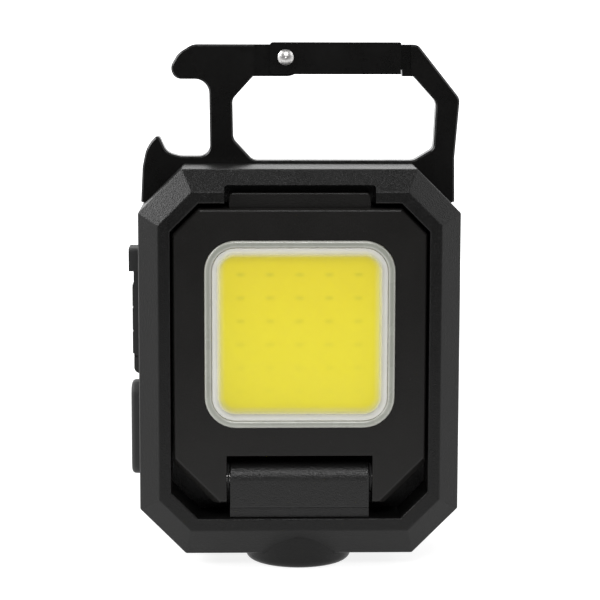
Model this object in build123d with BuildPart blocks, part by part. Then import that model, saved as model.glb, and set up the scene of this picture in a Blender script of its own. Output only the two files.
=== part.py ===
from build123d import *
import os

# Pocket work light with a tilting lamp head, a carabiner plate and a magnetic base.
# X runs across the light, Y from its front to its back and Z up, in millimetres.
# The origin is the centre of the round base's face.
# "Depth" is measured backwards from the body's front face.

# Body
body_width = 46.0
body_depth = 24.0
body_bottom = 1.9           # the base stands this far below the body
body_top = 57.8
front_setback = 8.5         # from the front face back to the axis of the base
bevel_depth = 2.6
bevel_side = 2.95
bevel_top = 3.1
bevel_bottom = 4.0
corner_bottom = 6.6         # 45 degree corners of the body
corner_top = 6.3
face_corner_bottom = 4.5    # the same corners on the front face
face_corner_top = 4.8
edge_round = 0.45
wall = 1.8
floor_thickness = 1.2
parting_depth = 12.4        # where the rear cover meets the front housing
rear_wall = 1.6

# Frame around the lamp head
frame_side = 4.6
frame_top = 4.7
frame_bottom = 5.75
recess_depth = 7.1
mouth_round = 0.25
recess_corner_bottom = 3.85
recess_corner_top = 4.05
tab_notch_half = 10.7
tab_notch_rise = 2.55       # above the recess
tab_notch_depth = 3.0

# Lamp head
head_front = 0.3            # set back from the front face
head_gap = 0.35             # beside the head
head_gap_top = 0.75
head_gap_bottom = 2.25
head_gap_back = 0.4
head_corner_bottom = 5.75
head_corner_top = 3.65
head_edge = 0.5
head_facet = 0.8            # on the lower corners
head_face = 1.3             # wall in front of the lens flange
head_back_wall = 1.3
tab_half = 10.1
tab_rise = 2.2
tab_setback = 0.8           # behind the head's face
tab_thickness = 1.4
tab_round = 0.7
tab_edge = 0.25

# Hinge of the head
hinge_drop = 39.2           # head's top edge to the hinge axis
hinge_depth = 2.6
barrel_radius = 2.5
barrel_drop = 4.0           # the axis to the barrel's foot
barrel_round = 0.3
barrel_half = 9.98
barrel_gap = 0.49           # at each end of the barrel
barrel_clearance = 1.15     # around the barrel, in the head
foot_front = 0.7
foot_gap = 0.1
pin_radius = 1.0
pin_half = 14.3
press_clearance = 0.03
running_clearance = 0.05
washer_thickness = 0.3
washer_radius = 2.2
swing_cut = 2.0             # lower back edge of the head

# Lens and lamp
window_width = 27.2
window_height = 27.0
window_round = 4.5
window_drop = 18.0          # head's top edge to the window's centre
lens_fit = 0.05
lens_plate = 1.2
lens_rim = 1.05
flange_size = 30.4
flange_thickness = 0.8
gasket_thickness = 0.4
pocket_gap = 0.4
board_round = 4.0
cob_board_thickness = 1.0
heat_sink_thickness = 1.4
phosphor_size = 23.6
phosphor_round = 2.6
phosphor_thickness = 0.8
dam_width = 0.6
dam_rise = 0.05
led_columns = 5
led_rows = 6
led_pitch_x = 4.2
led_pitch_z = 3.38
led_width = 0.9
led_height = 0.6
led_thickness = 0.3

# Carabiner plate
plate_thickness = 3.0
plate_fit = 0.1
plate_edge = 0.25
tang_inset = 2.1
tang_drop = 10.9
coined_thickness = 2.0      # of the tongue and the nose
tongue_end = 0.7
tongue_bottom = 12.7        # heights above the body's top
loop_top = 17.3
nose_tip = 13.4
nose_bottom = 13.65
nose_gap = 0.2              # past the gate's end
step_left = -6.4            # where the tongue's thinner part starts
step_right = 16.4

# Gate
gate_left = -4.15
gate_right = 14.95
gate_bottom = 13.0          # above the body's top
gate_top = 17.6
gate_web = 0.55
gate_web_left = 1.3
gate_round = 0.5
rivet_x = -1.85
rivet_rise = 15.45          # above the body's top
rivet_radius = 0.75
rivet_head_radius = 1.15
rivet_head_height = 0.5
spring_thickness = 0.2
spring_width = 1.4
spring_end = 8.0

# Magnetic base
base_radius = 7.7
base_height = 4.6
base_round = 0.9
base_fit = 0.1
magnet_radius = 6.0
magnet_thickness = 2.8

# Left side: mode button and port cover, in line with the socket on the board
button_height = 17.1        # centre above the body's bottom
button_length = 13.8
button_width = 5.5
button_proud = 1.5
button_fit = 0.15
button_flange = 0.6
button_flange_rim = 0.2
button_flange_end = 0.85
button_travel = 0.5
button_pocket_fit = 0.15
cover_bottom = 25.5         # above the body's bottom
cover_split = 27.9          # the flap bends here
cover_top = 43.85
cover_width = 5.5
cover_seat = 0.8
cover_gap = 0.1
cover_fit = 0.15
cover_proud = 1.0
cover_rib_proud = 1.2
cover_rib_length = 3.2
cover_tab_proud = 1.7
cover_tab_length = 3.35
port_height = 33.4
nose_length = 7.4
nose_width = 2.2
nose_depth = 1.4

# Electronics
board_gap = 0.3             # behind the recess floor
board_thickness = 1.2
board_inset = 2.1
board_left_inset = 3.2        # leaves room for the button's flange
board_bottom = 13.2         # above the body's bottom
board_top = 43.6
board_ear = 38.8
board_screw_inset = 3.25
socket_length = 8.94
socket_height = 3.2
socket_reach = 7.3
socket_wall = 0.3
socket_mouth = 1.1          # behind the side of the body
socket_round = 1.2
tongue_length = 6.7
tongue_width = 0.7
tongue_reach = 4.5
switch_length = 6.0
switch_height = 3.2
switch_reach = 3.2
plunger_length = 2.4
plunger_width = 1.4
plunger_reach = 2.4
battery_width = 31.0
battery_length = 31.0
battery_thickness = 6.0
battery_bottom = 11.0       # above the body's bottom
battery_gap = 0.15          # between the pad and the rear cover
battery_round = 1.4
pad_size = 20.0
pad_thickness = 0.55
rib_width = 0.8
rib_height = 3.0
rib_gap = 0.3
lead_radius = 0.45
lead_spacing = 1.6
lead_bend = 1.0
lead_rise = 1.4
connector_width = 5.0
connector_height = 4.0
connector_thickness = 3.2

# Screws: shank radius, head radius, head height
body_screw = (1.0, 1.7, 1.3)
small_screw = (0.8, 1.4, 0.9)
counterbore_fit = 0.15
head_screw_inset = 2.85
head_screw_rise = 4.7       # above the hinge axis
head_screw_skin = 0.9       # left in front of the blind holes
barrel_screw_x = 6.0
barrel_screw_drop = 2.2     # below the hinge axis
barrel_screw_bite = 3.8
board_screw_drop = 1.9
board_screw_rise = 3.0
board_screw_length = 4.8
screw_inset_x = 4.9
screw_inset_top = 4.9
screw_inset_bottom = 5.4
screw_boss = 3.0            # from a body screw to the inner corner
body_screw_length = 13.5
body_screw_seat = 5.0       # seat in front of the back face
screw_slot = 0.4
pilot_spare = 1.0           # blind holes run on past the screw's end

# Worked out from the sizes above
half = body_width / 2
parting_y = parting_depth - front_setback
back_y = body_depth - front_setback
recess_half = half - frame_side
recess_bottom = body_bottom + frame_bottom
recess_top = body_top - frame_top
head_half = recess_half - head_gap
head_bottom = recess_bottom + head_gap_bottom
head_top = recess_top - head_gap_top
head_back_depth = recess_depth - head_gap_back
hinge_z = head_top - hinge_drop
hinge_y = hinge_depth - front_setback
window_z = head_top - window_drop
flange_depth = head_front + head_face + gasket_thickness
cob_depth = flange_depth + flange_thickness
sink_depth = cob_depth + cob_board_thickness
pocket_size = flange_size + 2 * pocket_gap
pocket_round = board_round + pocket_gap
pocket_back = head_back_depth - head_back_wall
cavity_depth = recess_depth + floor_thickness
cavity_back = body_depth - rear_wall
cavity_half = half - wall
cavity_bottom = body_bottom + wall
cavity_top = body_top - wall
screw_x = half - screw_inset_x
screw_top = body_top - screw_inset_top
screw_bottom = body_bottom + screw_inset_bottom
boss_reach = screw_boss * 2 ** 0.5
cavity_corner_top = cavity_half + cavity_top - screw_x - screw_top + boss_reach
cavity_corner_bottom = cavity_half - cavity_bottom - screw_x + screw_bottom + boss_reach
plate_back = parting_depth + plate_thickness
coined_depth = parting_depth + (plate_thickness - coined_thickness) / 2
gate_wall = (plate_thickness - coined_thickness) / 2 - running_clearance
gate_mid = (gate_bottom + gate_top) / 2 + body_top
rivet_z = body_top + rivet_rise
board_depth = cavity_depth + board_gap
board_back = board_depth + board_thickness
side_depth = board_back + socket_height / 2     # centre line of the side controls
side_y = side_depth - front_setback
button_z = body_bottom + button_height
port_z = body_bottom + port_height
flange_width = button_width + 2 * button_fit + 2 * button_flange_rim
flange_length = button_length + 2 * button_flange_end
button_inner = -cavity_half + cover_gap + button_flange
button_pocket_depth = cover_gap + button_flange + button_travel + button_pocket_fit
cover_pivot_z = body_bottom + cover_split
board_half = half - board_inset
board_left = -half + board_left_inset
battery_depth = cavity_back - battery_gap - pad_thickness - battery_thickness
battery_z = body_bottom + battery_bottom + battery_length / 2
cheek_x = barrel_half + barrel_gap

body_screw_points = [
    (-screw_x, screw_top),
    (screw_x, screw_top),
    (-screw_x, screw_bottom),
    (screw_x, screw_bottom),
]
# The carabiner plate is one closed C: up the claw and the hook, round the loop and down the
# right side. Each corner has its place across, its height above the body's top and its radius.
claw_corners = [
    (-half + tang_inset, -tang_drop, 0),
    (-half + tang_inset, -corner_top, 0),
    (-half, -5.6, 0),
    (-half + 0.25, -0.5, 0),
    (-half + 0.9, 2.7, 4.5),
    (-half + 2.6, 4.25, 0.5),
    (-half + 3.8, 1.6, 2.0),
    (-half + 5.8, 1.05, 3.0),
    (-half + 10.15, 1.05, 1.7),
]
hook_corners = [
    (-half + 10.0, 12.3, 2.1),
    (-half + 5.0, 12.3, 1.4),
    (-half + 4.35, 14.0, 1.6),
    (-half + 5.5, 16.0, 2.5),
    (-half + 7.6, loop_top, 2.5),
    (tongue_end, loop_top, 1.6),
    (tongue_end, tongue_bottom, 2.4),
]
loop_corners = [
    (-half + 16.4, tongue_bottom, 0),
    (-half + 13.4, 9.4, 1.5),
    (-half + 13.5, 3.6, 1.5),
    (-half + 16.4, 0.45, 1.5),
    (half - 6.1, 0.45, 1.5),
    (half - 3.2, 2.2, 1.2),
    (half - 2.85, 9.0, 1.5),
    (half - 6.2, 12.7, 0),
]
nose_corners = [
    (gate_right + nose_gap, 12.7, 0),
    (gate_right + nose_gap, nose_bottom, 0),
    (nose_tip, nose_bottom, 0),
    (nose_tip, loop_top, 0),
    (half - 5.6, loop_top, 1.2),
    (half + 0.6, 9.5, 1.6),
    (half - 0.1, 0.9, 0),
    (half, -5.6, 0),
    (half - tang_inset, -corner_top, 0),
    (half - tang_inset, -tang_drop, 0),
]
plate_corners = [
    (x, body_top + rise, radius)
    for x, rise, radius in claw_corners + hook_corners + loop_corners + nose_corners
]

head_screw_x = head_half - head_screw_inset
head_screw_points = [
    (-head_screw_x, head_top - head_screw_inset),
    (head_screw_x, head_top - head_screw_inset),
    (-head_screw_x, hinge_z + head_screw_rise),
    (head_screw_x, hinge_z + head_screw_rise),
]
barrel_screw_points = [
    (-barrel_screw_x, hinge_z - barrel_screw_drop),
    (barrel_screw_x, hinge_z - barrel_screw_drop),
]
board_screw_x = half - board_screw_inset
board_screw_points = [
    (-board_screw_x, body_bottom + board_top - board_screw_drop),
    (board_screw_x, body_bottom + board_top - board_screw_drop),
    (board_screw_x, body_bottom + board_bottom + board_screw_rise),
]

back_to_front = (Align.CENTER, Align.CENTER, Align.MIN)
front_to_back = (Align.CENTER, Align.CENTER, Align.MAX)


def at_depth(depth):
    # A plane parallel to the front face. A negative extrusion runs backwards from it.
    return Plane.XZ.offset(front_setback - depth)


def octagon(half_width, bottom, top, cut_bottom, cut_top):
    Polygon(
        (-half_width + cut_bottom, bottom),
        (half_width - cut_bottom, bottom),
        (half_width, bottom + cut_bottom),
        (half_width, top - cut_top),
        (half_width - cut_top, top),
        (-half_width + cut_top, top),
        (-half_width, top - cut_top),
        (-half_width, bottom + cut_bottom),
        align=None,
    )


def body_outline():
    octagon(half, body_bottom, body_top, corner_bottom, corner_top)


def face_outline():
    octagon(half - bevel_side, body_bottom + bevel_bottom, body_top - bevel_top,
            face_corner_bottom, face_corner_top)


def cavity_outline():
    octagon(cavity_half, cavity_bottom, cavity_top, cavity_corner_bottom, cavity_corner_top)


def head_outline():
    octagon(head_half, head_bottom, head_top, head_corner_bottom, head_corner_top)


def plate_outline():
    Polygon(*[(x, z) for x, z, _ in plate_corners], align=None)


def holes(points, depth, radius, length):
    # Round holes that run forward from the given depth.
    for x, z in points:
        with Locations((x, depth - front_setback, z)):
            Cylinder(radius, length, rotation=(90, 0, 0), align=back_to_front,
                     mode=Mode.SUBTRACT)


def screws(points, seat_depth, screw, length):
    # Pan heads face the back and the shanks run forward from the seat.
    shank_radius, head_radius, head_height = screw
    for x, z in points:
        with Locations((x, seat_depth - front_setback, z)):
            Cylinder(shank_radius, length, rotation=(90, 0, 0), align=back_to_front)
            Cylinder(head_radius, head_height, rotation=(90, 0, 0), align=front_to_back)
        with Locations((x, seat_depth - front_setback + head_height, z)):
            Box(head_radius, head_height, screw_slot, mode=Mode.SUBTRACT)
            Box(screw_slot, head_height, head_radius, mode=Mode.SUBTRACT)


def side_openings():
    # Cuts for the port cover, the port and the mode button in the left wall.
    cover_length = cover_top - cover_bottom + 2 * cover_fit
    cover_z = body_bottom + (cover_top + cover_bottom) / 2
    with Locations((-half, side_y, cover_z)):
        Box(2 * cover_seat, cover_width + 2 * cover_fit, cover_length, mode=Mode.SUBTRACT)
    with Locations((-half, side_y, port_z)):
        Box(3 * wall, socket_height + 0.6, socket_length + 0.7, mode=Mode.SUBTRACT)
    with Locations((-half, side_y, button_z)):
        Box(3 * wall, button_width + 2 * button_fit, button_length + 2 * button_fit,
            mode=Mode.SUBTRACT)
    with Locations((-cavity_half, side_y, button_z)):
        Box(button_pocket_depth, flange_width + 2 * button_pocket_fit,
            flange_length + 2 * button_pocket_fit,
            align=(Align.MIN, Align.CENTER, Align.CENTER), mode=Mode.SUBTRACT)


# Front housing, with the recess for the head and the round base in one piece
with BuildPart() as front_housing:
    with BuildSketch(at_depth(0)):
        face_outline()
    with BuildSketch(at_depth(bevel_depth)):
        body_outline()
    loft(ruled=True)
    with BuildSketch(at_depth(bevel_depth)):
        body_outline()
    extrude(amount=bevel_depth - parting_depth)
    bevel_edges = front_housing.edges().filter_by_position(Axis.Y, -front_setback - 0.1, parting_y - 1)
    fillet(bevel_edges, edge_round)
    with BuildSketch(at_depth(0)):
        octagon(recess_half, recess_bottom, recess_top, recess_corner_bottom, recess_corner_top)
    extrude(amount=-recess_depth, mode=Mode.SUBTRACT)
    mouth = front_housing.faces().sort_by(Axis.Y)[0].inner_wires()[0]
    fillet(mouth.edges(), mouth_round)
    with BuildSketch(at_depth(0)) as tab_notch:
        with Locations((0, recess_top)):
            Rectangle(2 * tab_notch_half, 2 * tab_notch_rise)
        fillet(tab_notch.vertices(), edge_round)
    extrude(amount=-tab_notch_depth, mode=Mode.SUBTRACT)
    with BuildSketch(at_depth(cavity_depth)):
        cavity_outline()
    extrude(amount=cavity_depth - parting_depth, mode=Mode.SUBTRACT)
    with BuildSketch(Plane.XY) as base_disc:
        Circle(base_radius)
    extrude(amount=base_height)
    rim = front_housing.edges().filter_by(GeomType.CIRCLE).group_by(Axis.Z)[0]
    fillet(rim, base_round)
    with BuildSketch(Plane.XY) as magnet_pocket:
        Circle(magnet_radius + base_fit)
    extrude(amount=magnet_thickness, mode=Mode.SUBTRACT)
    holes(body_screw_points, parting_depth, body_screw[0] + press_clearance,
          body_screw_length + body_screw_seat + parting_depth - body_depth + pilot_spare)
    holes(barrel_screw_points, parting_depth, small_screw[0] + press_clearance, parting_depth)
    holes(board_screw_points, parting_depth, small_screw[0] + press_clearance, parting_depth - 4.0)
    side_openings()

# Rear cover
with BuildPart() as rear_cover:
    with BuildSketch(at_depth(body_depth)):
        face_outline()
    with BuildSketch(at_depth(body_depth - bevel_depth)):
        body_outline()
    loft(ruled=True)
    with BuildSketch(at_depth(parting_depth)):
        body_outline()
    extrude(amount=parting_depth + bevel_depth - body_depth)
    bevel_edges = rear_cover.edges().filter_by_position(Axis.Y, parting_y + 1, back_y + 0.1)
    fillet(bevel_edges, edge_round)
    with BuildSketch(at_depth(parting_depth)):
        cavity_outline()
    extrude(amount=parting_depth - cavity_back, mode=Mode.SUBTRACT)
    with BuildSketch(at_depth(parting_depth)):
        plate_outline()
        offset(amount=plate_fit)
    extrude(amount=-plate_thickness - plate_fit, mode=Mode.SUBTRACT)
    with BuildSketch(Plane.XY) as base_clearance:
        Circle(base_radius + base_fit)
    extrude(amount=base_height + base_fit, mode=Mode.SUBTRACT)
    holes(body_screw_points, body_depth, body_screw[0] + counterbore_fit, body_depth)
    holes(body_screw_points, body_depth, body_screw[1] + counterbore_fit, body_screw_seat)
    side_openings()
    rib_x = battery_width / 2 + rib_gap + rib_width / 2
    for x in (-rib_x, rib_x):
        with Locations((x, cavity_back - front_setback - rib_height / 2, battery_z)):
            Box(rib_width, rib_height, battery_length - 6)

# Carabiner plate, thinner where the gate straddles it
with BuildPart() as carabiner_plate:
    with BuildSketch(at_depth(parting_depth)) as plate_sketch:
        plate_outline()
        for x, z, radius in plate_corners:
            if radius:
                fillet(plate_sketch.vertices().sort_by_distance((x, z))[0], radius)
    extrude(amount=-plate_thickness)
    for face in (Axis.Y, -Axis.Y):
        chamfer(carabiner_plate.faces().sort_by(face)[0].edges(), plate_edge)
    for depth in (parting_depth, plate_back):
        side = -1 if depth == plate_back else 1
        with BuildSketch(at_depth(depth)) as step:
            with Locations(((step_left + step_right) / 2, gate_mid)):
                Rectangle(step_right - step_left, gate_top - gate_bottom + 2)
        extrude(amount=side * (parting_depth - coined_depth), mode=Mode.SUBTRACT)
    holes([(rivet_x, rivet_z)], body_depth, rivet_radius + press_clearance, body_depth)
    holes(body_screw_points[:2], body_depth, body_screw[0] + counterbore_fit, body_depth)

# Gate: two side plates and a web on the inside of the loop
with BuildPart() as gate:
    for depth in (parting_depth, plate_back - gate_wall):
        with BuildSketch(at_depth(depth)) as side_plate:
            with Locations(((gate_left + gate_right) / 2, gate_mid)):
                Rectangle(gate_right - gate_left, gate_top - gate_bottom)
            fillet(side_plate.vertices().group_by(Axis.X)[0], gate_round)
        extrude(amount=-gate_wall)
    with BuildSketch(at_depth(parting_depth)):
        with Locations(((gate_web_left + gate_right) / 2, body_top + gate_bottom + gate_web / 2)):
            Rectangle(gate_right - gate_web_left, gate_web)
    extrude(amount=-plate_thickness)
    holes([(rivet_x, rivet_z)], body_depth, rivet_radius + running_clearance, body_depth)

# Gate rivet, domed at both ends
with BuildPart() as gate_rivet:
    rivet_y = parting_y + plate_thickness / 2
    rivet_half = plate_thickness / 2 + running_clearance
    with Locations((rivet_x, rivet_y, rivet_z)):
        Cylinder(rivet_radius, 2 * rivet_half, rotation=(90, 0, 0))
    dome_radius = (rivet_head_radius ** 2 + rivet_head_height ** 2) / (2 * rivet_head_height)
    with BuildSketch(Plane((rivet_x, rivet_y, rivet_z), x_dir=(1, 0, 0), z_dir=(0, 0, 1))):
        with Locations((0, rivet_half + rivet_head_height - dome_radius)):
            Circle(dome_radius)
        with Locations((0, rivet_half - dome_radius)):
            Rectangle(4 * dome_radius, 2 * dome_radius, mode=Mode.SUBTRACT)
        with Locations((-dome_radius, 0)):
            Rectangle(2 * dome_radius, 8 * dome_radius, mode=Mode.SUBTRACT)
    revolve(axis=Axis((rivet_x, rivet_y, rivet_z), (0, 1, 0)))
    mirror(about=Plane.XZ.offset(-rivet_y))

# Leaf spring between the tongue and the gate's web
with BuildPart() as gate_spring:
    with BuildSketch(at_depth(plate_back - plate_thickness / 2 - spring_width / 2)):
        leaf_left = tongue_end + 0.1
        leaf_top = body_top + gate_bottom + gate_web + 1.6
        leaf_bottom = body_top + gate_bottom + gate_web + 0.1
        Polygon(
            (leaf_left, leaf_top),
            (leaf_left + 1.6, leaf_top),
            (spring_end, leaf_bottom + spring_thickness),
            (spring_end, leaf_bottom),
            (leaf_left + 1.5, leaf_top - spring_thickness),
            (leaf_left, leaf_top - spring_thickness),
            align=None,
        )
    extrude(amount=-spring_width)

# Screws that hold the two shells together
with BuildPart() as housing_screws:
    screws(body_screw_points, body_depth - body_screw_seat, body_screw, body_screw_length)

# Magnet in the base
with BuildPart() as base_magnet:
    Cylinder(magnet_radius, magnet_thickness, align=back_to_front)
    chamfer(base_magnet.edges().group_by(Axis.Z)[0], 0.25)

# Fixed barrel of the hinge, with its foot on the recess floor
with BuildPart() as hinge_barrel:
    with Locations((0, hinge_y, hinge_z)):
        Cylinder(barrel_radius, 2 * barrel_half, rotation=(0, 90, 0))
    barrel_front = hinge_depth - barrel_radius
    with BuildSketch(at_depth(barrel_front)):
        with Locations((0, hinge_z)):
            Rectangle(2 * barrel_half, barrel_drop, align=(Align.CENTER, Align.MAX))
    extrude(amount=barrel_front - recess_depth)
    with BuildSketch(at_depth(hinge_depth)):
        with Locations((0, hinge_z)):
            Rectangle(2 * barrel_half, barrel_radius - 0.3, align=(Align.CENTER, Align.MIN))
    extrude(amount=hinge_depth - recess_depth)
    low_edge = (0, barrel_front - front_setback, hinge_z - barrel_drop)
    fillet(hinge_barrel.edges().sort_by_distance(low_edge)[0], barrel_round)
    fillet(hinge_barrel.edges().filter_by(GeomType.CIRCLE), barrel_round / 2)
    foot_top = hinge_z - barrel_drop
    foot_bottom = recess_bottom + foot_gap
    with BuildSketch(at_depth(foot_front)):
        with Locations((0, foot_top)):
            Rectangle(2 * barrel_half, foot_top - foot_bottom, align=(Align.CENTER, Align.MAX))
    extrude(amount=foot_front - recess_depth)
    with Locations((0, hinge_y, hinge_z)):
        Cylinder(pin_radius + press_clearance, 2 * barrel_half, rotation=(0, 90, 0),
                 mode=Mode.SUBTRACT)
    holes(barrel_screw_points, recess_depth, small_screw[0] + press_clearance, barrel_screw_bite)

with BuildPart() as barrel_screws:
    screws(barrel_screw_points, cavity_depth, small_screw,
           floor_thickness + barrel_screw_bite - 0.6)

# Hinge pin, fixed in the barrel and free in the head's cheeks
with BuildPart() as hinge_pin:
    with Locations((0, hinge_y, hinge_z)):
        Cylinder(pin_radius, 2 * pin_half, rotation=(0, 90, 0))
    chamfer(hinge_pin.edges().filter_by(GeomType.CIRCLE), 0.2)

# Friction washers at the barrel's ends
with BuildPart() as friction_washers:
    for side in (-1, 1):
        with Locations((side * (barrel_half + barrel_gap / 2), hinge_y, hinge_z)):
            Cylinder(washer_radius, washer_thickness, rotation=(0, 90, 0))
            Cylinder(pin_radius + running_clearance, washer_thickness, rotation=(0, 90, 0),
                     mode=Mode.SUBTRACT)


def hinge_space():
    # Room for the barrel between the cheeks, and the bores for the pin.
    notch_top = hinge_z + barrel_radius + barrel_clearance
    with Locations((0, 0, notch_top)):
        Box(2 * cheek_x, 2 * body_depth, 2 * (notch_top - head_bottom) + 2,
            align=(Align.CENTER, Align.CENTER, Align.MAX), mode=Mode.SUBTRACT)
    with Locations((0, hinge_y, hinge_z)):
        Cylinder(pin_radius + running_clearance, 2 * pin_half + 0.4, rotation=(0, 90, 0),
                 mode=Mode.SUBTRACT)


# Front half of the lamp head, with the finger tab
with BuildPart() as head_bezel:
    with BuildSketch(at_depth(head_front)):
        head_outline()
    extrude(amount=head_front - hinge_depth)
    tab_front = head_front + tab_setback
    with BuildSketch(at_depth(tab_front)) as tab:
        with Locations((0, head_top)):
            Rectangle(2 * tab_half, 2 * tab_rise)
        fillet(tab.vertices(), tab_round)
    extrude(amount=-tab_thickness)
    tab_edges = head_bezel.edges().filter_by_position(Axis.Y, tab_front - front_setback - 0.01,
                                                      tab_front - front_setback + 0.01)
    fillet(tab_edges.filter_by_position(Axis.Z, head_top + 0.01, head_top + tab_rise + 1), tab_edge)
    corner_z = head_bottom + head_corner_bottom / 2
    for side in (-1, 1):
        corner_x = side * (head_half - head_corner_bottom / 2)
        corner = head_bezel.edges().sort_by_distance((corner_x, head_front - front_setback, corner_z))[0]
        chamfer(corner, head_facet)
    fillet(head_bezel.faces().sort_by(Axis.Y)[0].edges(), head_edge)
    hinge_space()
    with BuildSketch(at_depth(head_front)):
        with Locations((0, window_z)):
            RectangleRounded(window_width, window_height, window_round)
    extrude(amount=-head_face, mode=Mode.SUBTRACT)
    with BuildSketch(at_depth(head_front + head_face)):
        with Locations((0, window_z)):
            RectangleRounded(pocket_size, pocket_size, pocket_round)
    extrude(amount=head_front + head_face - hinge_depth, mode=Mode.SUBTRACT)
    holes(head_screw_points, hinge_depth, small_screw[0] + press_clearance,
          hinge_depth - head_front - head_screw_skin)

# Back half of the lamp head
with BuildPart() as head_back:
    with BuildSketch(at_depth(hinge_depth)):
        head_outline()
    extrude(amount=hinge_depth - head_back_depth)
    back_edges = head_back.faces().sort_by(Axis.Y)[-1].edges()
    low_edge = back_edges.sort_by(Axis.Z)[0]
    chamfer(low_edge, swing_cut)
    chamfer(back_edges.sort_by(Axis.Z)[3:], head_edge)
    hinge_space()
    with BuildSketch(at_depth(hinge_depth)):
        with Locations((0, window_z)):
            RectangleRounded(pocket_size, pocket_size, pocket_round)
    extrude(amount=hinge_depth - pocket_back, mode=Mode.SUBTRACT)
    screw_seat = head_back_depth - small_screw[2] - 0.2
    holes(head_screw_points, head_back_depth, small_screw[0] + counterbore_fit, body_depth)
    holes(head_screw_points, head_back_depth, small_screw[1] + counterbore_fit,
          head_back_depth - screw_seat)

with BuildPart() as head_screws:
    screws(head_screw_points, screw_seat, small_screw,
           screw_seat - head_front - head_screw_skin - 0.2)

# Clear lens: a plate, a rim and a flange behind the bezel
with BuildPart() as lamp_lens:
    with BuildSketch(at_depth(0)):
        with Locations((0, window_z)):
            RectangleRounded(window_width - 2 * lens_fit, window_height - 2 * lens_fit,
                             window_round - lens_fit)
    extrude(amount=-flange_depth)
    fillet(lamp_lens.faces().sort_by(Axis.Y)[0].edges(), 0.35)
    with BuildSketch(at_depth(flange_depth)):
        with Locations((0, window_z)):
            RectangleRounded(flange_size, flange_size, board_round)
    extrude(amount=-flange_thickness)
    with BuildSketch(at_depth(lens_plate)):
        with Locations((0, window_z)):
            RectangleRounded(window_width - 2 * lens_rim, window_height - 2 * lens_rim,
                             window_round - lens_rim)
    extrude(amount=-flange_depth, mode=Mode.SUBTRACT)

# Silicone gasket between the lens flange and the bezel
with BuildPart() as lens_gasket:
    with BuildSketch(at_depth(head_front + head_face)):
        with Locations((0, window_z)):
            RectangleRounded(flange_size, flange_size, board_round)
            RectangleRounded(window_width + 0.4, window_height + 0.4, window_round,
                             mode=Mode.SUBTRACT)
    extrude(amount=-gasket_thickness)

# Lamp: board, chips, dam and phosphor, on an aluminium heat spreader
with BuildPart() as cob_board:
    with BuildSketch(at_depth(cob_depth)):
        with Locations((0, window_z)):
            RectangleRounded(flange_size, flange_size, board_round)
    extrude(amount=-cob_board_thickness)

with BuildPart() as heat_spreader:
    with BuildSketch(at_depth(sink_depth)):
        with Locations((0, window_z)):
            RectangleRounded(flange_size, flange_size, board_round)
    extrude(amount=-heat_sink_thickness)


def led_chips_boxes(mode):
    with Locations((0, cob_depth - led_thickness / 2 - front_setback, window_z)):
        with GridLocations(led_pitch_x, 0, led_columns, 1):
            for row in range(led_rows):
                with Locations((0, 0, (row - (led_rows - 1) / 2) * led_pitch_z)):
                    Box(led_width, led_thickness, led_height, mode=mode)


with BuildPart() as led_chips:
    led_chips_boxes(Mode.ADD)

with BuildPart() as cob_phosphor:
    with BuildSketch(at_depth(cob_depth - phosphor_thickness)):
        with Locations((0, window_z)):
            RectangleRounded(phosphor_size, phosphor_size, phosphor_round)
    extrude(amount=-phosphor_thickness)
    led_chips_boxes(Mode.SUBTRACT)

with BuildPart() as cob_dam:
    dam_size = phosphor_size + 2 * dam_width
    with BuildSketch(at_depth(cob_depth - phosphor_thickness - dam_rise)):
        with Locations((0, window_z)):
            RectangleRounded(dam_size, dam_size, phosphor_round + dam_width)
            RectangleRounded(phosphor_size, phosphor_size, phosphor_round, mode=Mode.SUBTRACT)
    extrude(amount=-phosphor_thickness - dam_rise)

# Mode button: a rubber cap with a flange inside the wall
with BuildPart() as mode_button:
    with BuildSketch(Plane.YZ.offset(-half - button_proud)):
        with Locations((side_y, button_z)):
            RectangleRounded(button_width, button_length, 1.2)
    extrude(amount=button_inner + half + button_proud)
    fillet(mode_button.faces().sort_by(Axis.X)[0].edges(), 0.8)
    with BuildSketch(Plane.YZ.offset(button_inner - button_flange)):
        with Locations((side_y, button_z)):
            Rectangle(flange_width, flange_length)
    extrude(amount=button_flange)

with BuildPart() as switch_plunger:
    with BuildSketch(Plane.YZ.offset(button_inner)):
        with Locations((side_y, button_z)):
            Rectangle(plunger_width, plunger_length)
    extrude(amount=plunger_reach)

with BuildPart() as tact_switch:
    switch_left = board_left + 0.4
    switch_y = board_back - front_setback + switch_height / 2
    with Locations((switch_left + switch_reach / 2, switch_y, button_z)):
        Box(switch_reach, switch_height, switch_length)
    bore_reach = button_inner + plunger_reach + button_travel + 0.2 - switch_left
    with Locations((switch_left, side_y, button_z)):
        Box(2 * bore_reach, plunger_width + 0.3, plunger_length + 0.3, mode=Mode.SUBTRACT)

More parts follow.
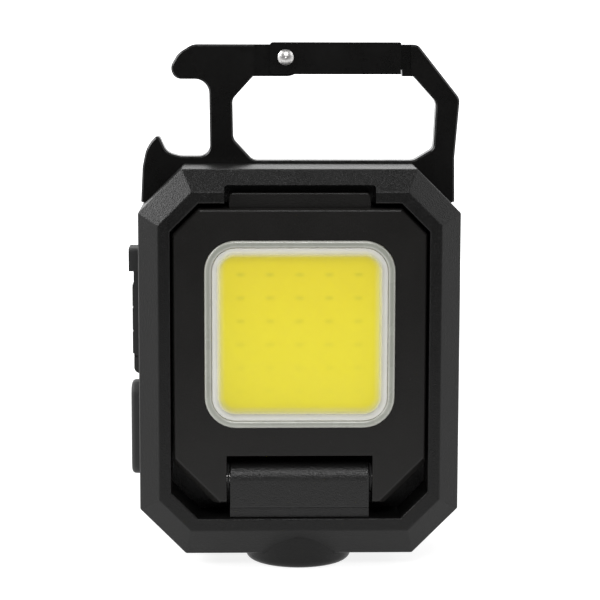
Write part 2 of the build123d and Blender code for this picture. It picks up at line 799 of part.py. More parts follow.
# Rubber port cover: a flap with its nose in the port, and the strap's fixed end
cover_face = -half - cover_proud
cover_back = -half + cover_seat - cover_gap
with BuildPart() as port_cover:
    flap_length = cover_top - cover_split
    flap_z = body_bottom + (cover_top + cover_split) / 2
    with BuildSketch(Plane.YZ.offset(cover_face)):
        with Locations((side_y, flap_z)):
            Rectangle(cover_width, flap_length)
    extrude(amount=cover_back - cover_face)
    for index in range(3):
        rib_z = cover_pivot_z + 0.5 + cover_rib_length * (index + 0.5) + 0.25 * index
        with Locations((-half - cover_rib_proud, side_y, rib_z)):
            Box(2 * (cover_rib_proud - cover_proud) + 0.2, cover_width - 0.8, cover_rib_length,
                align=(Align.MIN, Align.CENTER, Align.CENTER))
    tab_z = body_bottom + cover_top - cover_tab_length / 2
    with Locations((-half - cover_tab_proud, side_y, tab_z)):
        Box(cover_tab_proud - cover_proud + 0.3, cover_width, cover_tab_length,
            align=(Align.MIN, Align.CENTER, Align.CENTER))
    tab_edges = port_cover.edges().group_by(Axis.X)[0].filter_by(Axis.Y)
    fillet(tab_edges.sort_by(Axis.Z)[-1], 0.6)
    chamfer(tab_edges.sort_by(Axis.Z)[0], 0.5)
    with BuildSketch(Plane.YZ.offset(cover_back)):
        with Locations((side_y, port_z)):
            RectangleRounded(nose_width, nose_length, 1.0)
    extrude(amount=nose_depth)

with BuildPart() as port_cover_strap:
    strap_length = cover_split - cover_bottom
    with BuildSketch(Plane.YZ.offset(cover_face)):
        with Locations((side_y, body_bottom + (cover_split + cover_bottom) / 2)):
            Rectangle(cover_width, strap_length)
    extrude(amount=cover_back - cover_face)
    lower = port_cover_strap.edges().filter_by(Axis.Y).group_by(Axis.X)[0].sort_by(Axis.Z)[0]
    fillet(lower, 0.9)

# USB-C socket: steel shell and insulating tongue
socket_left = -half + socket_mouth
with BuildPart() as usb_socket_shell:
    with BuildSketch(Plane.YZ.offset(socket_left)):
        with Locations((side_y, port_z)):
            RectangleRounded(socket_height, socket_length, socket_round)
    extrude(amount=socket_reach)
    with BuildSketch(Plane.YZ.offset(socket_left)):
        with Locations((side_y, port_z)):
            RectangleRounded(socket_height - 2 * socket_wall, socket_length - 2 * socket_wall,
                             socket_round - socket_wall)
    extrude(amount=socket_reach - socket_wall, mode=Mode.SUBTRACT)

with BuildPart() as usb_socket_tongue:
    tongue_right = socket_left + socket_reach - socket_wall
    with Locations((tongue_right - tongue_reach / 2, side_y, port_z)):
        Box(tongue_reach, tongue_width, tongue_length)

# Control board with its parts
with BuildPart() as control_board:
    board_low = body_bottom + board_bottom
    board_high = body_bottom + board_top
    ear_z = body_bottom + board_ear
    with BuildSketch(at_depth(board_depth)):
        Polygon(
            (board_left, board_low),
            (board_half, board_low),
            (board_half, board_high),
            (-board_half, board_high),
            (-board_half, ear_z),
            (board_left, ear_z),
            align=None,
        )
    extrude(amount=-board_thickness)
    holes(board_screw_points, board_back, small_screw[0] + counterbore_fit, board_thickness)

with BuildPart() as board_screws:
    screws(board_screw_points, board_back, small_screw, board_screw_length)

with BuildPart() as board_parts:
    chip_y = board_back - front_setback
    for x, z, width, length, height in (
        (-3.0, 28.0, 4.0, 4.0, 0.9),
        (6.5, 36.5, 5.0, 5.0, 2.4),
        (7.0, 22.0, 3.2, 2.6, 1.8),
        (-4.0, 20.0, 3.0, 1.6, 0.8),
        (0.5, 22.5, 1.6, 0.8, 0.6),
    ):
        with Locations((x, chip_y + height / 2, z)):
            Box(width, height, length)

with BuildPart() as battery_connector:
    connector_z = body_bottom + board_top - 2.2 - connector_height / 2
    with Locations((0, chip_y + connector_thickness / 2, connector_z)):
        Box(connector_width, connector_thickness, connector_height)

# Battery, its leads and its foam pad
with BuildPart() as battery:
    battery_y = battery_depth - front_setback + battery_thickness / 2
    with Locations((0, battery_y, battery_z)):
        Box(battery_width, battery_thickness, battery_length)
    fillet(battery.edges().filter_by(Axis.Z), battery_round)

with BuildPart() as battery_pad:
    with Locations((0, battery_y + battery_thickness / 2 + pad_thickness / 2, battery_z)):
        Box(pad_size, pad_thickness, pad_size)


# Battery leads: up out of the battery, forward over its edge and down into the connector
with BuildPart() as battery_leads:
    battery_end = battery_z + battery_length / 2
    lead_front = chip_y + connector_thickness / 2
    for x in (-lead_spacing / 2, lead_spacing / 2):
        with BuildLine():
            FilletPolyline(
                (x, battery_y, battery_end),
                (x, battery_y, battery_end + lead_rise),
                (x, lead_front, battery_end + lead_rise),
                (x, lead_front, connector_z + connector_height / 2),
                radius=lead_bend,
            )
        with BuildSketch(Plane((x, battery_y, battery_end), z_dir=(0, 0, 1))):
            Circle(lead_radius)
        sweep()

part_names = {
    "front_housing": front_housing,
    "rear_cover": rear_cover,
    "housing_screws": housing_screws,
    "base_magnet": base_magnet,
    "carabiner_plate": carabiner_plate,
    "gate": gate,
    "gate_rivet": gate_rivet,
    "gate_spring": gate_spring,
    "hinge_barrel": hinge_barrel,
    "barrel_screws": barrel_screws,
    "hinge_pin": hinge_pin,
    "friction_washers": friction_washers,
    "head_bezel": head_bezel,
    "head_back": head_back,
    "head_screws": head_screws,
    "lamp_lens": lamp_lens,
    "lens_gasket": lens_gasket,
    "cob_board": cob_board,
    "led_chips": led_chips,
    "cob_phosphor": cob_phosphor,
    "cob_dam": cob_dam,
    "heat_spreader": heat_spreader,
    "mode_button": mode_button,
    "switch_plunger": switch_plunger,
    "tact_switch": tact_switch,
    "port_cover": port_cover,
    "port_cover_strap": port_cover_strap,
    "usb_socket_shell": usb_socket_shell,
    "usb_socket_tongue": usb_socket_tongue,
    "control_board": control_board,
    "board_screws": board_screws,
    "board_parts": board_parts,
    "battery_connector": battery_connector,
    "battery": battery,
    "battery_pad": battery_pad,
    "battery_leads": battery_leads,
}
os.makedirs("parts", exist_ok=True)
for name, piece in part_names.items():
    piece.part.label = name
    export_step(piece.part, f"parts/{name}.step")
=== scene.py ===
import bpy
import bmesh
import math
from mathutils import Matrix, Vector


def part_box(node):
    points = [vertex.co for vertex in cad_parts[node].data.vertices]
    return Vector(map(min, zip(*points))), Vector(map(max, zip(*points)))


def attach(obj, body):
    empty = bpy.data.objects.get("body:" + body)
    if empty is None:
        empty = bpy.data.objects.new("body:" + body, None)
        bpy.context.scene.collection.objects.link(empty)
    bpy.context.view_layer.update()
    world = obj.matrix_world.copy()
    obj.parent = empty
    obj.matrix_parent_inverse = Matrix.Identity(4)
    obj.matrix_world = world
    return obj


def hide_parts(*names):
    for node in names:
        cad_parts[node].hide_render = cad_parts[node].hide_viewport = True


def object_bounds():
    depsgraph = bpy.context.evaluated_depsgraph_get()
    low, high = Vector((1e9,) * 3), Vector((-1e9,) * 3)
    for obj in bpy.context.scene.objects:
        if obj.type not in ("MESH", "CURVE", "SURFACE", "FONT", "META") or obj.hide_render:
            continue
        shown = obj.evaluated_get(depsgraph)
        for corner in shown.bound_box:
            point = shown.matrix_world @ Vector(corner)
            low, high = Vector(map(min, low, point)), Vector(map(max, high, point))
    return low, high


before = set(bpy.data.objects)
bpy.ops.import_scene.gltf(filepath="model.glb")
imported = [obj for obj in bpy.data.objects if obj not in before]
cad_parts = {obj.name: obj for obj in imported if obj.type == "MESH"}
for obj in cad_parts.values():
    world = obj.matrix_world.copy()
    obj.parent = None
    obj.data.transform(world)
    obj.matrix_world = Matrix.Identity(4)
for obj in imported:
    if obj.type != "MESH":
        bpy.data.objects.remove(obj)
cadLow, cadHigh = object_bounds()
mm = 0.001
print("frame loaded")


class Sock:
    # one output of a shader node, with arithmetic
    def __init__(self, shader, socket):
        self.shader = shader
        self.socket = socket

    def join(self, operation, first, second):
        return self.shader.node("ShaderNodeMath", {"operation": operation}, {0: first, 1: second})

    def __add__(self, other):
        return self.join("ADD", self, other)

    def __radd__(self, other):
        return self.join("ADD", other, self)

    def __sub__(self, other):
        return self.join("SUBTRACT", self, other)

    def __rsub__(self, other):
        return self.join("SUBTRACT", other, self)

    def __mul__(self, other):
        return self.join("MULTIPLY", self, other)

    def __rmul__(self, other):
        return self.join("MULTIPLY", other, self)

    def __truediv__(self, other):
        return self.join("DIVIDE", self, other)

    def __pow__(self, other):
        return self.join("POWER", self, other)

    def clamped(self, low, high):
        # 0 at low, 1 at high, smooth between
        return self.shader.node("ShaderNodeMapRange", {"interpolation_type": "SMOOTHSTEP"},
                                {0: self, 1: low, 2: high})

    def size(self):
        return self.shader.node("ShaderNodeMath", {"operation": "ABSOLUTE"}, {0: self})

    def least(self, other):
        return self.join("MINIMUM", self, other)

    def most(self, other):
        return self.join("MAXIMUM", self, other)

    def part(self):
        return self.shader.node("ShaderNodeMath", {"operation": "FRACT"}, {0: self})

    def axes(self):
        # the three numbers of a vector
        split = self.shader.node("ShaderNodeSeparateXYZ", {}, {0: self})
        outputs = split.socket.node.outputs
        return [Sock(self.shader, outputs[k]) for k in range(3)]


class Shader:
    # a material and the nodes that feed its main shader
    def __init__(self, name, **fixed):
        self.material = bpy.data.materials.new(name)
        self.material.use_nodes = True
        self.tree = self.material.node_tree
        self.main = self.tree.nodes["Principled BSDF"]
        self.output = self.tree.nodes["Material Output"]
        for key, value in fixed.items():
            self.main.inputs[key.replace("_", " ")].default_value = value

    def node(self, kind, settings=None, values=None, out=0):
        made = self.tree.nodes.new(kind)
        for key, value in (settings or {}).items():
            setattr(made, key, value)
        for key, value in (values or {}).items():
            if isinstance(value, Sock):
                self.tree.links.new(value.socket, made.inputs[key])
            else:
                made.inputs[key].default_value = value
        return Sock(self, made.outputs[out])

    def feed(self, key, value):
        self.tree.links.new(value.socket, self.main.inputs[key])

    def place(self):
        return self.node("ShaderNodeTexCoord", out="Object")

    def noise(self, grain, detail=3.0, rough=0.6, at=None):
        # grain is the size of a feature, in metres
        return self.node("ShaderNodeTexNoise", {}, {
            "Vector": at or self.place(), "Scale": 1 / grain, "Detail": detail, "Roughness": rough})

    def cells(self, grain):
        # distance to the nearest of a scatter of points
        return self.node("ShaderNodeTexVoronoi", {}, {"Vector": self.place(), "Scale": 1 / grain})

    def facing(self):
        # how far the surface faces along each axis
        return self.node("ShaderNodeNewGeometry", out="Normal").axes()

    def inside(self, half, corner, middle):
        # distance in from a rounded square's edge, across X and Z, in metres
        x, _, z = self.place().axes()
        across = x.size() - (half[0] - corner)
        along = (z - middle).size() - (half[1] - corner)
        outer = across.most(0) ** 2 + along.most(0) ** 2
        return corner - outer ** 0.5 - across.most(along).least(0)

    def tint(self, factor, dark, light):
        return self.node("ShaderNodeMix", {"data_type": "RGBA"}, {0: factor, 6: dark, 7: light}, out=2)

    def bump(self, height, depth):
        return self.node("ShaderNodeBump", {}, {"Height": height, "Distance": depth})


def grey(value, warm=0.0):
    return (value * (1 + warm), value, value * (1 - warm), 1)


def wear(material, *nodes):
    # gives CAD pieces their finish
    for node in nodes:
        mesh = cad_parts[node].data
        mesh.materials.clear()
        mesh.materials.append(material)


mouldedPlastic = {
    "colour": 0.0042,
    "warm": 0.02,
    "shine": 0.25,
    "roughness": 0.36,
    "spread": 0.14,
    "grain": 0.19 * mm,
    "grainDepth": 0.045 * mm,
    "waves": 7 * mm,
    "speck": 1.1 * mm,
    "speckSize": 0.06,
    "dust": 0.05,
    "dustTone": 0.5,
    "darker": 0.7,
    "lighter": 1.35,
}


def makeMoulded(name, look):
    # spark-eroded grain, slow changes in gloss and a few pale specks
    shader = Shader(name, Specular_IOR_Level=look["shine"])
    grain = shader.noise(look["grain"], detail=1.5, rough=0.55)
    fine = shader.cells(look["grain"] * 0.8)
    waves = shader.noise(look["waves"], detail=4.0)
    speck = shader.cells(look["speck"]).clamped(look["speckSize"], look["speckSize"] * 0.5)
    dark = grey(look["colour"] * look["darker"], look["warm"])
    light = grey(look["colour"] * look["lighter"], look["warm"])
    base = shader.tint(waves * 0.6 + grain * 0.4, dark, light)
    shader.feed("Base Color", shader.tint(speck * look["dust"], base, grey(look["dustTone"])))
    gloss = (waves - 0.5) * look["spread"] + (grain - 0.5) * look["spread"] * 2
    shader.feed("Roughness", gloss + look["roughness"])
    shader.feed("Normal", shader.bump(grain + fine * 0.5, look["grainDepth"]))
    return shader.material


satinPaint = {
    "colour": 0.004,
    "bare": 0.08,
    "shine": 0.28,
    "roughness": 0.3,
    "warm": 0.04,
    "ripple": 0.5 * mm,
    "rippleDepth": 0.004 * mm,
    "rub": 0.8 * mm,
    "rubShare": 0.6,
    "edgeOn": (0.93, 0.75),
    "scratch": 5 * mm,
    "scratchWidth": 0.35 * mm,
    "scratchStretch": 0.04,
    "scratchTurn": math.radians(28),
}


def makePaint(name, look):
    # black coating over stamped steel, rubbed on its cut edges and scratched here and there
    shader = Shader(name, Specular_IOR_Level=look["shine"])
    ripple = shader.noise(look["ripple"], detail=2.0)
    broad = shader.noise(look["scratch"], detail=5.0)
    stretched = shader.node("ShaderNodeMapping", {}, {
        "Vector": shader.place(), "Rotation": (0, look["scratchTurn"], 0),
        "Scale": (1, 1, look["scratchStretch"])})
    scratch = shader.noise(look["scratchWidth"], detail=1.0, at=stretched).clamped(0.70, 0.78)
    _, front, _ = shader.facing()
    cutEdge = front.size().clamped(*look["edgeOn"])
    rubbed = cutEdge * shader.noise(look["rub"], detail=5.0).clamped(0.35, 0.7) * look["rubShare"]
    marked = rubbed.most(scratch * broad.clamped(0.55, 0.7) * look["rubShare"])
    dark = grey(look["colour"] * 0.8, look["warm"])
    light = grey(look["colour"] * 1.2, look["warm"])
    paint = shader.tint(broad, dark, light)
    shader.feed("Base Color", shader.tint(marked * 0.6, paint, grey(look["bare"])))
    shader.feed("Metallic", marked * 0.7)
    shader.feed("Roughness", (ripple - 0.5) * 0.12 + (broad - 0.5) * 0.15 + look["roughness"])
    shader.feed("Normal", shader.bump(ripple, look["rippleDepth"]))
    return shader.material


def makeMetal(name, look):
    # brush stretches the scratches along an axis
    shader = Shader(name, Metallic=1.0)
    at = shader.node("ShaderNodeMapping", {}, {
        "Vector": shader.place(), "Scale": look.get("brush", (1, 1, 1))})
    fine = shader.noise(metalGrain["grain"], detail=3.0, at=at)
    broad = shader.noise(metalGrain["stain"], detail=4.0)
    stain = fine * 0.4 + broad * 0.6
    shader.feed("Base Color", shader.tint(
        stain, grey(look["colour"] * 0.72, 0.02), grey(look["colour"] * 1.15, 0.01)))
    shader.feed("Roughness", (fine - 0.5) * 0.25 + (broad - 0.5) * 0.2 + look["roughness"])
    shader.feed("Normal", shader.bump(fine, metalGrain["depth"]))
    return shader.material


def makeSoft(name, look):
    # rubber, foam, silicone and moulded nylon
    shader = Shader(name)
    grain = look.get("grain", softGrain["grain"])
    fine = shader.noise(grain, detail=3.0)
    broad = shader.noise(grain * softGrain["cloud"], detail=4.0)
    dark = tuple(c * 0.8 for c in look["colour"]) + (1,)
    light = tuple(min(1, c * look.get("pale", softGrain["pale"])) for c in look["colour"]) + (1,)
    shader.feed("Base Color", shader.tint(fine * 0.4 + broad * 0.6, dark, light))
    shader.feed("Roughness", (broad - 0.5) * 0.2 + look["roughness"])
    shader.feed("Normal", shader.bump(fine, look.get("depth", softGrain["depth"])))
    return shader.material


housingBlack = makeMoulded("housingBlack", mouldedPlastic)
headBlack = makeMoulded("headBlack", {
    **mouldedPlastic, "colour": 0.007, "warm": 0.07, "grain": 0.2 * mm, "grainDepth": 0.016 * mm,
    "roughness": 0.4})
barrelBlack = makeMoulded("barrelBlack", {**mouldedPlastic, "shine": 0.4, "dust": 0.1})
wear(housingBlack, "front_housing", "rear_cover")
wear(barrelBlack, "hinge_barrel")
wear(headBlack, "head_bezel", "head_back")
plateBlack = makePaint("plateBlack", satinPaint)
wear(plateBlack, "carabiner_plate", "gate")

metalGrain = {"grain": 0.25 * mm, "stain": 3 * mm, "depth": 0.003 * mm}
metals = {
    "brightNickel": {"colour": 0.72, "roughness": 0.38, "on": ["gate_rivet", "usb_socket_shell"]},
    "magnetNickel": {"colour": 0.62, "roughness": 0.3, "on": ["base_magnet"]},
    "darkSteel": {"colour": 0.28, "roughness": 0.42,
                  "on": ["housing_screws", "head_screws", "barrel_screws", "board_screws"]},
    "turnedSteel": {"colour": 0.42, "roughness": 0.35, "brush": (4, 1, 1),
                    "on": ["hinge_pin", "gate_spring"]},
    "milledAluminium": {"colour": 0.6, "roughness": 0.45, "brush": (0.08, 1, 1), "on": ["heat_spreader"]},
    "pouchFoil": {"colour": 0.5, "roughness": 0.38, "on": ["battery"]},
}
for name, look in metals.items():
    wear(makeMetal(name, look), *look["on"])

softGrain = {"grain": 0.12 * mm, "cloud": 25, "depth": 0.012 * mm, "pale": 1.5}
softPieces = {
    "washerNylon": {"colour": (0.004, 0.004, 0.004), "roughness": 0.85, "on": ["friction_washers"]},
    "moulding": {"colour": (0.014, 0.014, 0.014), "roughness": 0.45,
                 "on": ["switch_plunger", "tact_switch", "usb_socket_tongue", "board_parts"]},
    "whiteNylon": {"colour": (0.62, 0.6, 0.54), "roughness": 0.4, "pale": 1.15, "on": ["battery_connector"]},
    "greyFoam": {"colour": (0.05, 0.05, 0.052), "roughness": 0.9, "grain": 0.35 * mm, "depth": 0.09 * mm,
                 "on": ["battery_pad"]},
    "leadJacket": {"colour": (0.32, 0.012, 0.01), "roughness": 0.4, "pale": 1.3, "on": ["battery_leads"]},
    "clearSilicone": {"colour": (0.5, 0.5, 0.47), "roughness": 0.4, "pale": 1.2, "on": ["lens_gasket"]},
    "whiteMask": {"colour": (0.66, 0.65, 0.6), "roughness": 0.45, "pale": 1.15, "on": ["cob_board"]},
    "whiteDam": {"colour": (0.78, 0.77, 0.7), "roughness": 0.5, "pale": 1.1, "on": ["cob_dam"]},
    "chipDie": {"colour": (0.3, 0.28, 0.1), "roughness": 0.3, "on": ["led_chips"]},
}
for name, look in softPieces.items():
    wear(makeSoft(name, look), *look["on"])
rubber = makeSoft("blackRubber", {"colour": (0.0115, 0.0115, 0.0118), "roughness": 0.62, "pale": 1.7})

boardFinish = {
    "mask": (0.006, 0.075, 0.03),
    "track": (0.012, 0.13, 0.05),
    "pitch": 1.27 * mm,
    "bend": 6 * mm,
    "trackRise": 0.02 * mm,
    "roughness": 0.22,
}


def makeBoard(look):
    # green solder mask, a little paler over its tracks
    shader = Shader("solderMask")
    x, _, z = shader.place().axes()
    bend = shader.noise(look["bend"], detail=1.0)
    lines = ((x + z * 0.5) / look["pitch"] + bend * 6).part().clamped(0.55, 0.62)
    faint = shader.noise(0.3 * mm)
    green = shader.tint(lines * 0.8 + faint * 0.2, look["mask"] + (1,), look["track"] + (1,))
    shader.feed("Base Color", green)
    shader.feed("Roughness", faint * 0.2 + look["roughness"])
    shader.feed("Normal", shader.bump(lines, look["trackRise"]))
    return shader.material


wear(makeBoard(boardFinish), "control_board")

gelLow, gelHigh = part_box("cob_phosphor")
gelMiddle = (gelLow.z + gelHigh.z) / 2
gelHalf = ((gelHigh.x - gelLow.x) / 2, (gelHigh.z - gelLow.z) / 2)
chipLow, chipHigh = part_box("led_chips")
phosphor = {
    "deep": (0.70, 0.595, 0.0005),
    "pale": (0.74, 0.655, 0.006),
    "edge": (0.70, 0.67, 0.30),
    "mark": (0.56, 0.50, 0.001),
    "corner": 2.6 * mm,
    "softEdge": 1.3 * mm,
    "edgeShare": 0.85,
    "cloud": 5 * mm,
    "cloudDepth": 0.05 * mm,
    "columns": 5,
    "rows": 6,
    "lastChip": 0.2,  # share of a pitch that the last chip takes up
    "markWidth": 1.05 * mm,
    "markHeight": 0.5 * mm,
    "markTop": 0.6,
    "markBottom": 0.1,
    "roughness": 0.42,
    "shine": 0.2,
    # strength of the painted glow: emission that brightens the gel though the lamp is off
    "paintedGlow": 0.52,
}


def makePhosphor(look):
    # yellow gel, paler towards its edge and its lower end, with the chips just showing through; the whole
    # gel also carries a painted glow, emission that makes the unlit gel shine
    shader = Shader("phosphorGel", Roughness=look["roughness"], Specular_IOR_Level=look["shine"],
                    Emission_Strength=look["paintedGlow"])
    x, _, z = shader.place().axes()
    rise = (z - gelLow.z) / (gelHigh.z - gelLow.z)
    cloud = shader.noise(look["cloud"], detail=2.0)
    upward = rise.clamped(0.25, 1.0) * 0.8 + (cloud - 0.5) * 0.5
    gel = shader.tint(upward.clamped(0, 1), look["pale"] + (1,), look["deep"] + (1,))
    pitchX = (chipHigh.x - chipLow.x) / (look["columns"] - 1 + look["lastChip"])
    pitchZ = (chipHigh.z - chipLow.z) / (look["rows"] - 1 + look["lastChip"])
    columns = ((x / pitchX + 0.5).part() - 0.5).size() * pitchX
    rows = (((z - gelMiddle) / pitchZ).part() - 0.5).size() * pitchZ
    wide = columns.clamped(look["markWidth"] * 0.62, look["markWidth"] * 0.38)
    tall = rows.clamped(look["markHeight"] * 0.8, look["markHeight"] * 0.3)
    within = (z - gelMiddle).size().clamped(chipHigh.z - gelMiddle + 1 * mm, chipHigh.z - gelMiddle)
    seen = wide * tall * within * (rise * look["markTop"] + look["markBottom"])
    gel = shader.tint(seen, gel, look["mark"] + (1,))
    depth = shader.inside(gelHalf, look["corner"], gelMiddle)
    colour = shader.tint(depth.clamped(look["softEdge"], 0) * look["edgeShare"], gel, look["edge"] + (1,))
    shader.feed("Base Color", colour)
    # painted glow: the gel's own colour is also sent out as emission
    shader.feed("Emission Color", colour)
    shader.feed("Normal", shader.bump(cloud, look["cloudDepth"]))
    return shader.material


wear(makePhosphor(phosphor), "cob_phosphor")
print("CAD pieces dressed")


def slab(width, height, thick, corner, edge, segments=3):
    # a rounded block in a bmesh: its back on z = 0 and its front at z = thick
    mesh = bmesh.new()
    bmesh.ops.create_grid(mesh, x_segments=1, y_segments=1, size=0.5)
    bmesh.ops.scale(mesh, vec=(width, height, 1), verts=mesh.verts)
    bmesh.ops.bevel(mesh, geom=mesh.verts[:], offset=corner, segments=8, profile=0.5,
                    affect="VERTICES", material=-1)
    raised = bmesh.ops.extrude_face_region(mesh, geom=mesh.faces[:])
    top = [v for v in raised["geom"] if isinstance(v, bmesh.types.BMVert)]
    bmesh.ops.translate(mesh, vec=(0, 0, thick), verts=top)
    bmesh.ops.recalc_face_normals(mesh, faces=mesh.faces)
    if edge:
        rim = [e for e in mesh.edges if all(v.co.z > thick / 2 for v in e.verts)]
        bmesh.ops.bevel(mesh, geom=rim, offset=edge, segments=segments, profile=0.5,
                        affect="EDGES", material=-1)
    return mesh


# turns a slab's front to the part's front (-Y) or to its left (-X)
toFront = Matrix(((1, 0, 0), (0, 0, -1), (0, 1, 0)))
toLeft = Matrix(((0, 0, -1), (-1, 0, 0), (0, 1, 0)))


def joined(name, meshes, material, body, stands):
    # one finished piece from several bmeshes, in place of a CAD node
    whole = bpy.data.meshes.new(name)
    total = bmesh.new()
    for mesh in meshes:
        mesh.to_mesh(whole)
        total.from_mesh(whole)
        mesh.free()
    total.to_mesh(whole)
    total.free()
    whole.materials.append(material)
    whole.shade_smooth()
    whole.set_sharp_from_angle(angle=math.radians(40))
    piece = bpy.data.objects.new(name, whole)
    bpy.context.scene.collection.objects.link(piece)
    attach(piece, body)
    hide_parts(stands)


def placed(mesh, turn, place):
    # turns a slab and moves it to its place
    bmesh.ops.transform(mesh, matrix=Matrix.Translation(place) @ turn.to_4x4(), verts=mesh.verts)
    return mesh


lens = {
    "corner": 4.45 * mm,
    "rim": 1.0 * mm,
    "edge": 0.32 * mm,
    "groove": 0.05 * mm,
    "rimDark": (0.30, 0.31, 0.27),
    # pale end of the rim's tone, also the colour of its painted edge highlight
    "rimPaleAndHighlight": (0.47, 0.47, 0.43),
    "frost": 1.5 * mm,
    "frostStart": 0.15 * mm,
    "frostShare": 0.62,
    "paneDrop": 0.12 * mm,
    "paneEdge": 0.08 * mm,
    "paneThick": 0.9 * mm,
    "windowWidth": 27.1 * mm,
    "windowHeight": 26.9 * mm,
}
lensLow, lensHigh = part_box("lamp_lens")
lensMiddle = (lensLow.z + lensHigh.z) / 2


def makeLensFinish(look):
    # a grey rim of clear plastic with a painted highlight that makes it paler towards its edges, where it
    # turns away, and a glossy clear pane
    rim = Shader("lensRim", Coat_Weight=0.6, Coat_Roughness=0.08)
    half = (look["windowWidth"] / 2, look["windowHeight"] / 2)
    depth = rim.inside(half, look["corner"], lensMiddle)
    cloud = rim.noise(4 * mm, detail=4.0)
    # painted highlight: 0 along the middle of the rim, rising to 1 at its inner and outer edges
    edgeHighlight = (depth - look["rim"] * 0.5).size().clamped(0.0, look["rim"] * 0.5)
    # the rim runs from its grey to the pale tone by random cloud and by the painted edge highlight
    colour = rim.tint(edgeHighlight * 0.7 + (cloud - 0.5) * 0.5, look["rimDark"] + (1,), look["rimPaleAndHighlight"] + (1,))
    rim.feed("Base Color", colour)
    rim.feed("Roughness", cloud * 0.25 + 0.15)
    pane = Shader("lensPane", Base_Color=(0.9, 0.9, 0.88, 1), Roughness=0.05)
    haze = pane.noise(8 * mm, detail=3.0)
    inset = look["rim"] + look["groove"]
    paneHalf = (half[0] - inset, half[1] - inset)
    edge = pane.inside(paneHalf, look["corner"] - inset, lensMiddle)
    frost = edge.clamped(look["frost"], look["frostStart"]) * look["frostShare"]
    clear = pane.node("ShaderNodeBsdfTransparent", {}, {"Color": (0.97, 0.97, 0.95, 1)})
    glance = pane.node("ShaderNodeFresnel", {}, {"IOR": 1.5})
    mixed = pane.node("ShaderNodeMixShader", {}, {
        0: (glance * 0.8 + haze * 0.01).most(frost), 1: clear, 2: Sock(pane, pane.main.outputs[0])})
    pane.tree.links.new(mixed.socket, pane.output.inputs[0])
    return rim.material, pane.material


def makeLens(look):
    rimFinish, paneFinish = makeLensFinish(look)
    front = lensLow.y
    width, height = look["windowWidth"], look["windowHeight"]
    ring = slab(width, height, look["paneThick"], look["corner"], 0)
    for face in [f for f in ring.faces if abs(f.normal.z) > 0.5]:
        bmesh.ops.inset_region(ring, faces=[face], thickness=look["rim"], use_even_offset=True)
    inner = [f for f in ring.faces if abs(f.normal.z) > 0.5
             and all(abs(v.co.x) < width / 2 - look["rim"] * 0.9 for v in f.verts)
             and all(abs(v.co.y) < height / 2 - look["rim"] * 0.9 for v in f.verts)]
    bmesh.ops.bridge_loops(ring, edges=[e for f in inner for e in f.edges])
    bmesh.ops.delete(ring, geom=inner, context="FACES_ONLY")
    bmesh.ops.recalc_face_normals(ring, faces=ring.faces)
    frontEdges = [e for e in ring.edges if all(v.co.z > look["paneThick"] * 0.9 for v in e.verts)
                  and any(abs(f.normal.z) < 0.5 for f in e.link_faces)]
    bmesh.ops.bevel(ring, geom=frontEdges, offset=look["edge"], segments=4, profile=0.5,
                    affect="EDGES", material=-1)
    placed(ring, toFront, (0, front + look["paneThick"], lensMiddle))
    joined("lensRim", [ring], rimFinish, "lamp_head", "lamp_lens")
    gone = 2 * (look["rim"] + look["groove"])
    thick = look["paneThick"] - look["paneDrop"]
    pane = slab(width - gone, height - gone, thick, look["corner"] - gone / 2, look["paneEdge"])
    placed(pane, toFront, (0, front + look["paneThick"], lensMiddle))
    joined("lensPane", [pane], paneFinish, "lamp_head", "lamp_lens")


makeLens(lens)
print("lens made")


def cut(mesh, place, normal):
    # splits every face that a plane passes through
    bmesh.ops.bisect_plane(mesh, geom=mesh.verts[:] + mesh.edges[:] + mesh.faces[:],
                           plane_co=place, plane_no=normal)


def push(mesh, side, rise, left, right, low, high):
    # moves the part of a slab's front (side 1) or back (side -1) that lies within these limits
    for x in (left, right):
        cut(mesh, (x, 0, 0), (1, 0, 0))
    for y in (low, high):
        cut(mesh, (0, y, 0), (0, 1, 0))
    middles = [(f, f.calc_center_median()) for f in mesh.faces if f.normal.z * side > 0.9]
    picked = [f for f, c in middles if left < c.x < right and low < c.y < high]
    moved = bmesh.ops.extrude_face_region(mesh, geom=picked)
    bmesh.ops.translate(mesh, vec=(0, 0, side * rise),
                        verts=[g for g in moved["geom"] if isinstance(g, bmesh.types.BMVert)])


def softenEdges(mesh, offset, segments=3):
    # rounds every sharp outer edge, and clears the flat cuts left by push
    bmesh.ops.dissolve_limit(mesh, angle_limit=0.01, verts=mesh.verts, edges=mesh.edges)
    sharp = [e for e in mesh.edges if e.is_manifold and e.is_convex and e.calc_face_angle() > 0.8]
    bmesh.ops.bevel(mesh, geom=sharp, offset=offset, segments=segments, profile=0.5,
                    affect="EDGES", clamp_overlap=True, material=-1)


portCover = {
    "corner": 0.5 * mm,
    "edge": 0.16 * mm,
    "ribs": 3,
    "ribStart": 0.5 * mm,
    "ribLength": 3.2 * mm,
    "ribGap": 0.25 * mm,
    "ribInset": 0.4 * mm,
    "ribRise": 0.2 * mm,
    "tabLength": 3.35 * mm,
    "tabRise": 0.7 * mm,
    "noseLength": 7.4 * mm,
    "noseWidth": 2.2 * mm,
    "noseReach": 1.4 * mm,
}


